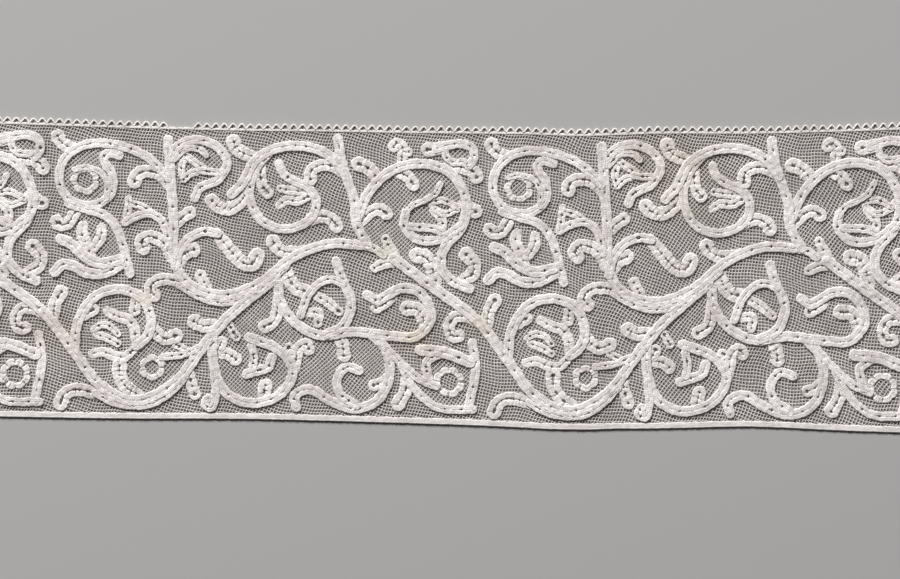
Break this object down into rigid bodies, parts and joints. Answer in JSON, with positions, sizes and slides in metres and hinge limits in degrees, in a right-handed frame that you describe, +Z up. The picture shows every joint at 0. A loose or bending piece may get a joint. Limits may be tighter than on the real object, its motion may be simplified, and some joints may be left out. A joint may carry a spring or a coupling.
{
  "type": "lace band",
  "caption": "Flat cut length of tape lace with a scrolling leafy vine raised from a mesh ground, a foot tape and a loop edging.",
  "frame": {"origin": "centre of the bounding box at the underside, where the band rests on a surface", "axes": "+X along the band, left to right as the picture shows it; +Y across the band towards the edging of loops; +Z up from the surface, out of the lace's face"},
  "size_m": [0.56, 0.19, 0.0018],
  "materials": {
    "braid_and_mesh": "matt linen thread, woven tapes over a plaited mesh",
    "tape": "matt woven linen tape",
    "thread": "matt twisted linen thread"
  },
  "bodies": {
    "root": {"lace_cloth": "braid_and_mesh", "foot_tape": "tape", "loop_edging": "thread"}
  },
  "joints": []
}
